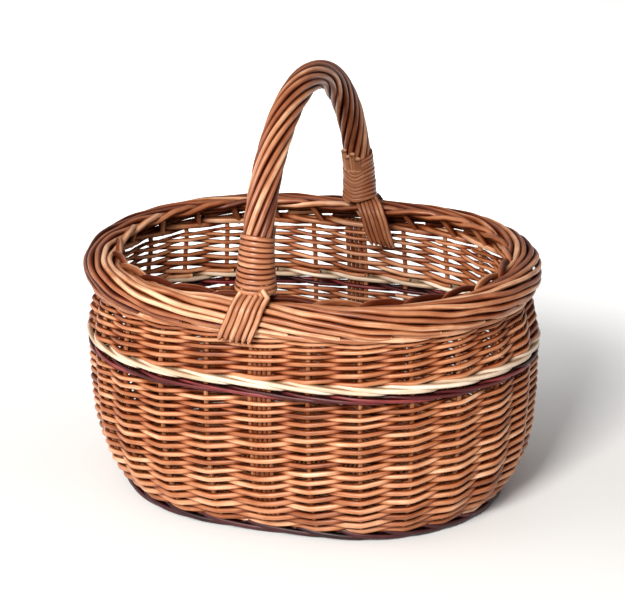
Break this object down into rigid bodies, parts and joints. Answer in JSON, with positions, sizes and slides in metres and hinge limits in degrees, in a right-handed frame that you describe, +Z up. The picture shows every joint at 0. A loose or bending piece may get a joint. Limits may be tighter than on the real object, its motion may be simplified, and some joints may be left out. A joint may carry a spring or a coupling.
{
  "type": "woven market basket",
  "caption": "Oval woven willow shopping basket with a fixed roped bow handle, a rolled border, and cream and maroon bands round the wall.",
  "frame": {"origin": "on the ground, under the middle of the basket", "axes": "+X along the long side of the oval, +Y across it in the plane of the handle, +Z up"},
  "size_m": [0.44, 0.3558, 0.4142],
  "materials": {
    "willow_buff": "varnished buff willow",
    "willow_border": "varnished buff willow, thick rods",
    "willow_cream": "varnished white willow",
    "willow_maroon": "stained and varnished willow",
    "willow_stick": "varnished buff willow sticks",
    "willow_skein": "varnished split willow skein"
  },
  "bodies": {
    "root": {"back_binding": "willow_skein", "back_handle_liners": "willow_stick", "back_inner_tails": "willow_border", "back_outer_tails": "willow_border", "base_cross_sticks": "willow_stick", "base_long_sticks": "willow_stick", "base_slath_binding": "willow_buff", "base_weave": "willow_buff", "border": "willow_border", "cream_wale": "willow_cream", "front_binding": "willow_skein", "front_handle_liners": "willow_stick", "front_inner_tails": "willow_border", "front_outer_tails": "willow_border", "handle_bow": "willow_stick", "handle_roping": "willow_border", "lower_randing": "willow_buff", "maroon_wale": "willow_maroon", "stake_01": "willow_buff", "stake_02": "willow_buff", "stake_03": "willow_buff", "stake_04": "willow_buff", "stake_05": "willow_buff", "stake_06": "willow_buff", "stake_07": "willow_buff", "stake_08": "willow_buff", "stake_09": "willow_buff", "stake_10": "willow_buff", "stake_11": "willow_buff", "stake_12": "willow_buff", "stake_13": "willow_buff", "stake_14": "willow_buff", "stake_15": "willow_buff", "stake_16": "willow_buff", "stake_17": "willow_buff", "stake_18": "willow_buff", "stake_19": "willow_buff", "stake_20": "willow_buff", "stake_21": "willow_buff", "stake_22": "willow_buff", "stake_23": "willow_buff", "stake_24": "willow_buff", "stake_25": "willow_buff", "stake_26": "willow_buff", "top_wale": "willow_border", "upper_randing": "willow_buff", "upset_wale": "willow_maroon"}
  },
  "joints": []
}
